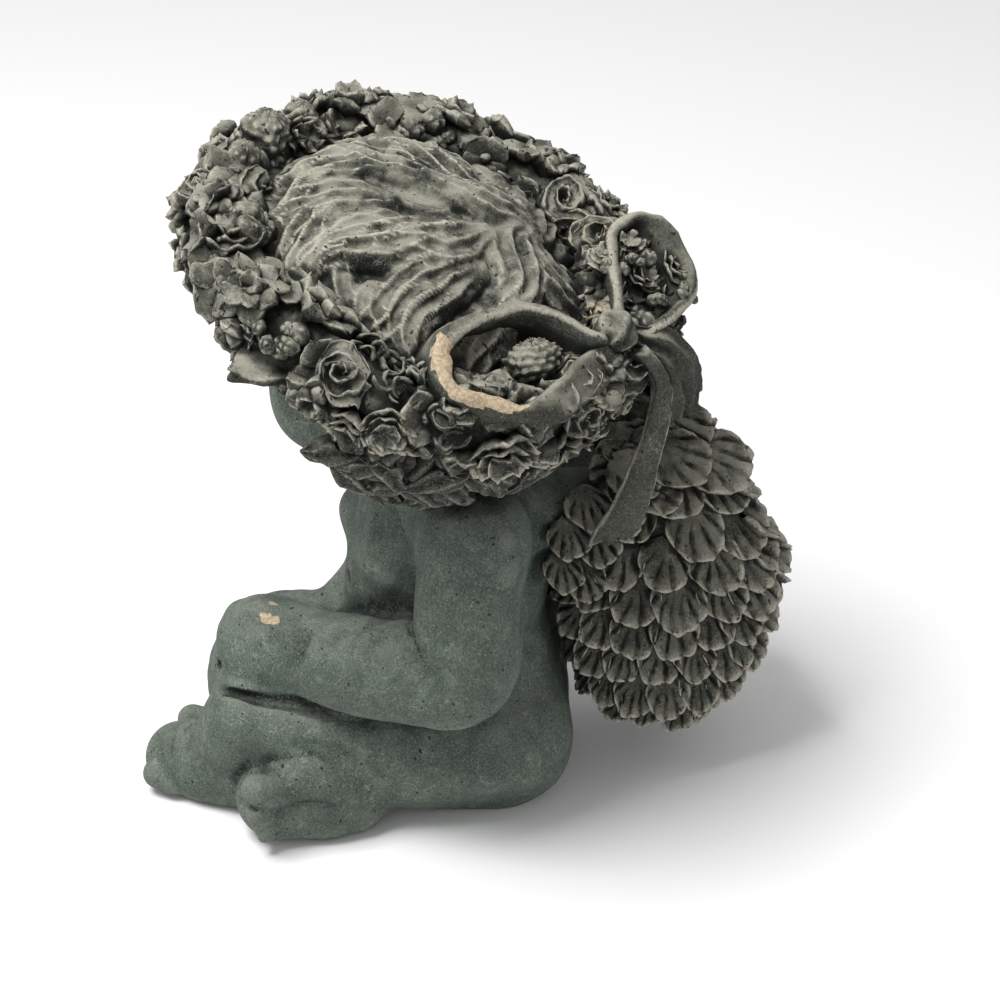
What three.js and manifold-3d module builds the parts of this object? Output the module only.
// Seated winged putto in a flower wreath, one casting that stands on its own underside.
// Millimetres, +Z up. The figure faces -Y and its left hand is towards +X.
import * as THREE from 'three';
import Module from 'manifold-3d';
import { mergeVertices } from 'three/addons/utils/BufferGeometryUtils.js';

const wasm = await Module();
wasm.setup();

// ---- driving dimensions ----
const SHIFT = [9.74, 22.01];                    // from the modelling centre to the middle of the footprint
const CREAM = 0x5c6862;                   // one flat colour for the whole casting
const WREATH = { at: [8, 8, 236], tilt: [0.375, 0.21, 0.9], radius: 76, tube: 12 };
const HEAD = { drop: 28, back: 6, across: 58, deep: 58, tall: 60 };
const DOME = { drop: 20, radius: 73, rise: 43 };
const HAIR = { locks: 13, tiers: 4, swirl: 55, ridge: 3.4 };
const GARLAND = { flowers: 56, swell: 6, size: 14, along: 44, around: 7 };
const WING = { at: [17, 105, 96], deep: 46, tall: 75, bulge: 25, inner: 12, slope: 0.4 };
const FEATHER = { rows: 8, round: 9, step: 3, lift: 4, droop: 8 };
const RIBBON = { width: 21, thick: 2.8 };

// stations are x, y, z, radius along the middle of a limb
const LIMBS = {
  spine: [[0, 27, 37, 42], [0, 17, 78, 41], [0, 20, 110, 41], [0, 16, 138, 28]],
  shoulders: [[-46, 16, 134, 21], [0, 17, 138, 24], [46, 17, 134, 21]],
  neck: [[0, 14, 142, 25], [-2, 8, 180, 27]],
  leftArm: [[46, 18, 138, 22], [53, 14, 118, 21], [57, 9, 86, 22], [46, -11, 82, 21],
    [28, -31, 77, 20], [12, -46, 75, 17.5]],
  rightArm: [[-46, 14, 136, 22], [-50, 8, 102, 20], [-48, 2, 68, 18], [-34, -24, 54, 15],
    [-14, -42, 56, 13]],
  leftHand: [[14, -45, 75, 17.5], [2, -57, 75, 19], [-8, -64, 68, 13]],
  rightHand: [[-16, -40, 56, 13], [-2, -52, 60, 13], [6, -60, 60, 10]],
  leftLeg: [[25, 31, 29, 33], [22, -6, 31, 28], [20, -42, 43, 24], [10, -64, 49, 21],
    [4, -72, 34, 18], [2, -70, 20, 16]],
  rightLeg: [[-25, 31, 29, 33], [-28, -6, 32, 29], [-36, -44, 45, 25], [-24, -60, 38, 20],
    [-4, -52, 26, 17], [20, -40, 18, 15]],
  leftFoot: [[4, -64, 14, 17], [-8, -82, 13, 18], [-19, -94, 10, 15]],
  rightFoot: [[31, -30, 13, 15], [29, -46, 16, 17], [28, -60, 17, 18]],
};

// ---- small helpers ----
const vec = (a) => new THREE.Vector3(a[0], a[1], a[2]);
const rad = (deg) => deg * Math.PI / 180;
const mix = (a, b, t) => a + (b - a) * t;

function body(geometry) {
  const g = geometry.clone();
  g.deleteAttribute('normal');
  g.deleteAttribute('uv');
  const m = mergeVertices(g, 1e-4);
  return new wasm.Manifold(new wasm.Mesh({
    numProp: 3,
    vertProperties: new Float32Array(m.attributes.position.array),
    triVerts: new Uint32Array(m.index.array),
  }));
}

function meshOf(points, faces) {
  const g = new THREE.BufferGeometry();
  g.setAttribute('position', new THREE.Float32BufferAttribute(points.flatMap((p) => [p.x, p.y, p.z]), 3));
  g.setIndex(faces.flat());
  return g;
}

function mirrored(geometry) {
  const g = mergeVertices(geometry, 1e-4).clone();
  g.scale(-1, 1, 1);
  const i = g.index.array;
  for (let k = 0; k < i.length; k += 3) [i[k], i[k + 1]] = [i[k + 1], i[k]];
  return g;
}

// a closed skin from rings of equal count, each end drawn together on a pole, or joined end to end
function skin(rings, poles) {
  const n = rings[0].length, points = rings.flat(), faces = [], total = rings.length;
  for (let k = 0; k < total - (poles ? 1 : 0); k++) {
    const next = (k + 1) % total;
    for (let j = 0; j < n; j++) {
      const a = k * n + j, b = k * n + (j + 1) % n, c = next * n + (j + 1) % n, d = next * n + j;
      faces.push([a, b, c], [a, c, d]);
    }
  }
  if (poles) {
    const low = points.push(poles[0]) - 1, high = points.push(poles[1]) - 1, top = (total - 1) * n;
    for (let j = 0; j < n; j++) {
      faces.push([(j + 1) % n, j, low], [top + j, top + (j + 1) % n, high]);
    }
  }
  return meshOf(points, faces);
}

// an ellipsoid whose three half sizes lie along the axes x, y, z of a frame
function ball(at, size, frame = null, around = 10, down = 7) {
  const g = new THREE.SphereGeometry(1, around, down);
  g.rotateX(Math.PI / 2);
  g.scale(size[0], size[1], size[2]);
  if (frame) g.applyMatrix4(new THREE.Matrix4().makeBasis(frame.x, frame.y, frame.z));
  g.translate(at.x, at.y, at.z);
  return g;
}

// a round tube with changing radius along a smooth path, domed at both ends
function limb(stations, sides = 8, steps = 1) {
  const curve = new THREE.CatmullRomCurve3(stations.map(vec), false, 'centripetal');
  const last = stations.length - 1, n = last * steps;
  const radius = (t) => {
    const k = Math.min(Math.floor(t * last), last - 1), f = t * last - k;
    return mix(stations[k][3], stations[k + 1][3], f * f * (3 - 2 * f));
  };
  const rings = [];
  const add = (t, grow, slide) => rings.push({ t, grow, slide });
  add(0, 0.6, -0.8);
  for (let k = 0; k <= n; k++) add(k / n, 1, 0);
  add(1, 0.6, 0.8);
  let side = new THREE.Vector3(0.31, 0.22, 0.92);
  const points = [];
  for (const { t, grow, slide } of rings) {
    const along = curve.getTangent(t), r = radius(t);
    side.addScaledVector(along, -side.dot(along)).normalize();
    const other = along.clone().cross(side);
    const mid = curve.getPoint(t).addScaledVector(along, slide * r);
    for (let j = 0; j < sides; j++) {
      const a = 2 * Math.PI * j / sides;
      points.push(mid.clone().addScaledVector(side, Math.cos(a) * r * grow)
        .addScaledVector(other, Math.sin(a) * r * grow));
    }
  }
  const faces = [];
  for (let k = 0; k < rings.length - 1; k++) {
    for (let j = 0; j < sides; j++) {
      const a = k * sides + j, b = k * sides + (j + 1) % sides;
      faces.push([a, b, b + sides], [a, b + sides, a + sides]);
    }
  }
  const ends = [[0, -1], [1, 1]];
  ends.forEach(([t, sign]) => {
    points.push(curve.getPoint(t).addScaledVector(curve.getTangent(t), sign * radius(t)));
    const tip = points.length - 1, base = t ? (rings.length - 1) * sides : 0;
    for (let j = 0; j < sides; j++) {
      const a = base + j, b = base + (j + 1) % sides;
      faces.push(t ? [a, b, tip] : [b, a, tip]);
    }
  });
  return meshOf(points, faces);
}

// a flat band between two rails, thick in the direction across both
function band(railA, railB, thick, steps = 3) {
  const a = new THREE.CatmullRomCurve3(railA.map(vec), false, 'centripetal');
  const b = new THREE.CatmullRomCurve3(railB.map(vec), false, 'centripetal');
  const n = (railA.length - 1) * steps, points = [], faces = [];
  for (let k = 0; k <= n; k++) {
    const p = a.getPoint(k / n), q = b.getPoint(k / n);
    const face = q.clone().sub(p).cross(a.getTangent(k / n)).normalize().multiplyScalar(thick / 2);
    points.push(p.clone().add(face), q.clone().add(face), q.clone().sub(face), p.clone().sub(face));
  }
  for (let k = 0; k < n; k++) {
    for (let j = 0; j < 4; j++) {
      const c = k * 4 + j, d = k * 4 + (j + 1) % 4;
      faces.push([c, d, d + 4], [c, d + 4, c + 4]);
    }
  }
  const e = n * 4;
  faces.push([0, 2, 1], [0, 3, 2], [e, e + 1, e + 2], [e, e + 2, e + 3]);
  return meshOf(points, faces);
}

// ---- the wreath's own frame: angle 0 at the brow, -90 over the left ear, 180 at the back ----
const up = vec(WREATH.tilt).normalize();
const brow = vec([0, -1, 0]);
brow.addScaledVector(up, -brow.dot(up)).normalize();
const right = brow.clone().cross(up);
const hub = vec(WREATH.at);

function spot(angle, out, high) {
  const y = brow.clone().multiplyScalar(Math.cos(rad(angle))).addScaledVector(right, Math.sin(rad(angle)));
  return { at: hub.clone().addScaledVector(y, out).addScaledVector(up, high), x: y.clone().cross(up), y, z: up.clone() };
}
const at = (angle, out, high) => spot(angle, out, high).at.toArray();

// a frame standing on the wreath's tube, its z leaning outward by roll degrees
function perch(angle, roll, reach) {
  const s = spot(angle, WREATH.radius, 0);
  const z = up.clone().multiplyScalar(Math.cos(rad(roll))).addScaledVector(s.y, Math.sin(rad(roll)));
  return { at: s.at.addScaledVector(z, reach), x: s.x, y: z.clone().cross(s.x), z };
}

// a scalloped blossom: its rim swells and shrinks once for every petal
function blossom(angle, roll, size, petals = 5) {
  const p = perch(angle, roll, WREATH.tube), around = petals * 2;
  const ring = (r, h) => Array.from({ length: around }, (_, j) => {
    const a = Math.PI * j / petals, s = size * r * (j % 2 ? 0.8 : 1.05);
    return p.at.clone().addScaledVector(p.x, Math.cos(a) * s).addScaledVector(p.y, Math.sin(a) * s)
      .addScaledVector(p.z, h * size);
  });
  const pole = (h) => p.at.clone().addScaledVector(p.z, h * size);
  return skin([ring(1, 0), ring(0.5, 0.45)], [pole(-0.7), pole(0.5)]);
}

// the wreath's tube, swollen wherever one of its small flowers sits
function garland() {
  const { flowers, swell } = GARLAND, spots = [];
  for (let k = 0; k < flowers; k++) spots.push([360 * k / flowers, 222 * k % 230 - 90]);
  const rings = [];
  for (let k = 0; k < GARLAND.along; k++) {
    const ring = [];
    for (let j = 0; j < GARLAND.around; j++) {
      const angle = 360 * k / GARLAND.along, roll = -360 * j / GARLAND.around;
      const near = Math.min(...spots.map(([a, b]) => {
        const da = (angle - a + 540) % 360 - 180, db = (roll - b + 540) % 360 - 180;
        return Math.hypot(da * 1.4, db * 0.23);
      }));
      ring.push(perch(angle, roll, WREATH.tube - 1 + swell * Math.max(0, 1 - near / GARLAND.size)).at);
    }
    rings.push(ring);
  }
  return skin(rings, null);
}

function wreath() {
  const parts = [garland()];
  const heroes = [[-38, 5, 13, 5], [-54, 45, 12, 5], [-50, 110, 13, 4], [-90, 60, 11, 4], [-112, 70, 12, 5],
    [-131, 95, 12, 5], [-14, 50, 11, 4], [8, 85, 14, 5], [78, 60, 11, 4], [105, 60, 12, 4], [150, 65, 12, 4]];
  heroes.forEach((h) => parts.push(blossom(...h)));
  const berry = perch(48, 10, WREATH.tube - 1), cone = perch(-112, -45, WREATH.tube + 5);
  parts.push(ball(berry.at, [12, 11, 9], berry), ball(cone.at, [13, 8, 9], cone, 8, 6));
  const leaf = perch(-38, 100, WREATH.tube + 5);
  parts.push(ball(leaf.at, [9, 3, 16], leaf, 8, 6));
  return parts;
}

// ---- hair: a dome inside the wreath with curving locks, and hooked curls hanging below it ----
function onDome(angle, out, over = 0) {
  const high = -DOME.drop + DOME.rise * Math.sqrt(Math.max(0, 1 - (out / DOME.radius) ** 2));
  return at(angle, out, high + over);
}

// the locks leave the crown like spokes, swirl on the way down and break into overlapping tiers
function hair() {
  const { locks, tiers, swirl, ridge } = HAIR, rings = [];
  for (let k = 1; k <= tiers; k++) {
    for (const lip of [1, 0]) {
      const out = DOME.radius * 0.97 * (k - (lip ? 0.92 : 0)) / tiers;
      rings.push(Array.from({ length: locks * 2 }, (_, j) => {
        const high = ((j + k) % 2 ? 1 : -0.6) * ridge * Math.min(1, out / 20) + (lip ? 0 : 1.5);
        return vec(onDome(180 * j / locks + swirl * Math.sin(2.4 * out / DOME.radius), out, high));
      }));
    }
  }
  return [skin(rings, [vec(onDome(0, 0, ridge)), vec(at(0, 0, -DOME.drop - DOME.rise))])];
}

function curls() {
  const parts = [];
  const tier = (count, from, to, high, out, thick) => {
    for (let k = 0; k < count; k++) {
      const a = mix(from, to, (k + 0.5) / count), bend = k % 2 ? 7 : -7;
      parts.push(limb([[...at(a, out - 16, high + 12), thick], [...at(a + bend, out - 1, high), thick],
        [...at(a - bend * 0.3, out - 4, high - 13), thick * 0.8],
        [...at(a - bend, out - 15, high - 15), thick * 0.4]], 5, 1));
    }
  };
  tier(8, 66, 300, -18, 82, 11);
  tier(4, 90, 275, -38, 68, 12);
  return parts;
}

// ---- head and face, in a frame with x to the figure's right, y forward, z to the crown ----
const crown = vec([0.36, -0.04, 0.93]).normalize();
const gaze = vec([-0.36, -0.9, -0.16]);
gaze.addScaledVector(crown, -gaze.dot(crown)).normalize();
const faceFrame = { x: gaze.clone().cross(crown), y: gaze, z: crown };
const skull = hub.clone().addScaledVector(up, -HEAD.drop).add(vec([0, HEAD.back, 0]));
const onHead = (x, y, z) => skull.clone().addScaledVector(faceFrame.x, x).addScaledVector(gaze, y)
  .addScaledVector(crown, z);

function head() {
  const part = (x, y, z, size, around = 7, down = 4) => ball(onHead(x, y, z), size, faceFrame, around, down);
  const parts = [part(0, 0, 0, [HEAD.across, HEAD.deep, HEAD.tall], 10, 7)];
  parts.push(part(0, 30, -32, [30, 24, 22], 10, 6), part(0, 43, -47, [11, 9, 8]));
  parts.push(part(0, 57, -20, [6, 7, 8]), part(0, 50, -35, [9, 5, 3]), part(0, 49, -40, [8, 5, 3.2]));
  for (const s of [-1, 1]) {
    parts.push(part(26 * s, 37, -26, [19, 17, 17], 8, 6), part(20 * s, 49, -8, [9, 6, 5]));
    parts.push(part(19 * s, 50, 3, [11, 5, 3]));
  }
  return parts;
}

// ---- toes and fingers ----
function digits() {
  const parts = [];
  const row = (from, to, sizes, reach) => sizes.forEach((r, k) => {
    const t = k / (sizes.length - 1), mid = vec(from.map((c, i) => mix(c, to[i], t) + reach[i] / 2));
    const y = vec(reach).normalize(), x = y.clone().cross(vec([0, 0, 1])).normalize();
    parts.push(ball(mid, [r, r + vec(reach).length() / 2, r], { x, y, z: x.clone().cross(y) }, 6, 4));
  });
  row([-4, -101, 8], [-36, -82, 12], [5.5, 5.8, 6.2, 6.6, 8], [-4, -6, 0]);
  row([38, -66, 28], [34, -65, 3], [8, 5.2, 4.8, 4.6, 4.4], [2, -8, 0]);
  row([-4, -60, 80], [2, -66, 62], [6.5, 6.5, 6.2, 6], [-5, -6, -1]);
  return parts;
}

// ---- bow: two standing loops, a knot and two tails over the back of the wreath ----
function bow() {
  const w = RIBBON.width, parts = [];
  const strip = (path, lean) => {
    const near = path.map(([a, out, high]) => at(a, out, high));
    const far = path.map(([a, out, high], k) => at(a + lean[k][0], out + lean[k][1], high - lean[k][2]));
    parts.push(band(near, far, RIBBON.thick, 1));
  };
  strip([[-134, 74, 24], [-111, 54, 27], [-72, 66, 27], [-74, 90, 25], [-88, 91, 22], [-98, 93, 18], [-128, 80, 14]],
    [[0, 0, w], [6, -6, w], [5, -10, w], [4, -9, w], [3, -7, w], [5, -8, w], [4, -10, 8]]);
  strip([[-140, 76, 24], [-168, 68, 34], [-178, 76, 40], [-178, 92, 36], [-163, 104, 20], [-146, 86, 14]],
    [[0, 0, w], [-3, 4, w], [0, 4, w], [4, 2, w], [6, -4, w], [4, -6, w]]);
  strip([[-142, 83, 17], [-144.6, 96, 6], [-142.4, 101, -8], [-135, 107, -30], [-132, 107, -66]],
    [[-3, 10, -4.5], [-2.5, 12, -4], [-2.8, 11, -4.5], [-4, 10.5, -5.5], [-5.6, 14, -8]]);
  strip([[-148, 81, 20], [-152, 93.5, 17], [-154, 106, 9], [-157, 115, -7], [-158, 121, -26]],
    [[3.5, 6, 5], [5, 1, 7.5], [5, -3, 9], [4.6, -6, 9.4], [2.8, -9, 7]]);
  const knot = spot(-136, 78, 19);
  parts.push(ball(knot.at, [11, 10, 9], knot, 10, 7));
  return parts;
}

// ---- wings ----
// the top of a wing falls away towards the back
const sloped = (p) => p.setZ(p.z - WING.slope * Math.max(0, p.y - 92) * Math.min(1, Math.max(0, (p.z - 95) / 60)));

// rows of overlapping feathers: each row flares to a scalloped lip, then steps in under the next
function wing() {
  const { rows, round, step, lift, droop } = FEATHER, [x, y, z] = WING.at, rings = [];
  const ring = (high, grow, row, drop) => Array.from({ length: round * step }, (_, j) => {
    const phase = 2 * Math.PI * ((j + 0.5) / step + row / 2), tip = 0.5 - 0.5 * Math.cos(phase);
    const h = high - drop * (tip ** 0.5 - 0.5), s = Math.max(0.1, 1 - Math.abs(h / WING.tall) ** (h > 0 ? 1.6 : 3)) ** 0.5;
    const a = 2 * Math.PI * j / (round * step);
    return sloped(vec([x + (WING.bulge * s + grow * (0.3 + tip)) * Math.cos(a),
      y + (WING.deep * s + grow * (0.3 + tip)) * Math.sin(a), z + h]));
  });
  for (let i = 0; i < rows; i++) {
    const high = -WING.tall * 0.88 + i * WING.tall * 1.8 / rows;
    rings.push(ring(high, lift, i, droop), ring(high + 4, 0, i, droop));
  }
  const pole = (h) => sloped(vec([x, y, z + h * WING.tall]));
  return [skin(rings, [pole(-0.96), pole(1)])];
}

function wings() {
  const left = wing(), cut = new THREE.BoxGeometry(60, 200, 300);
  cut.translate(WING.inner - 30, 100, 100);
  const side = (list, tool) => wasm.Manifold.union(list.map(body)).subtract(body(tool));
  const cutRight = cut.clone();
  cutRight.translate(2 * (30 - WING.inner), 0, 0);
  return [side(left, cut), side(left.map(mirrored), cutRight)];
}

// the casting is solid: only the largest closed skin is kept, so no bubble stays inside
function outerSkin(index, count) {
  const owner = Array.from({ length: count }, (_, i) => i);
  const find = (i) => { while (owner[i] !== i) { owner[i] = owner[owner[i]]; i = owner[i]; } return i; };
  for (let k = 0; k < index.length; k += 3) {
    owner[find(index[k + 1])] = find(index[k]);
    owner[find(index[k + 2])] = find(index[k]);
  }
  const skins = new Map();
  for (let k = 0; k < index.length; k += 3) {
    const key = find(index[k]);
    if (!skins.has(key)) skins.set(key, []);
    skins.get(key).push(index[k], index[k + 1], index[k + 2]);
  }
  return [...skins.values()].sort((a, b) => b.length - a.length)[0];
}

// ---- everything joined, cut flat on the ground and moved over the middle of its footprint ----
function statue() {
  const loose = [...Object.values(LIMBS).map((s) => limb(s)), ...head(), ...hair(), ...curls(), ...digits(),
    ...wreath(), ...bow()];
  loose.push(limb([[16, 46, 128, 18], [16, 76, 126, 16]], 8), limb([[-16, 46, 128, 18], [-16, 76, 126, 16]], 8));
  loose.push(limb([[0, 50, 60, 13], [0, 84, 62, 13]], 8));
  const ground = new THREE.BoxGeometry(600, 600, 100);
  ground.translate(0, 0, -50);
  const mesh = wasm.Manifold.union([...loose.map(body), ...wings()]).subtract(body(ground)).getMesh();
  const g = new THREE.BufferGeometry();
  g.setAttribute('position', new THREE.Float32BufferAttribute(Float32Array.from(mesh.vertProperties), 3));
  g.setIndex(outerSkin(Array.from(mesh.triVerts), mesh.vertProperties.length / 3));
  g.translate(-SHIFT[0], -SHIFT[1], 0);
  return g;
}

const group = new THREE.Group();
const putto = new THREE.Mesh(statue(), new THREE.MeshStandardMaterial({ color: CREAM, roughness: 0.8 }));
putto.name = 'putto';
group.add(putto);
export default group;
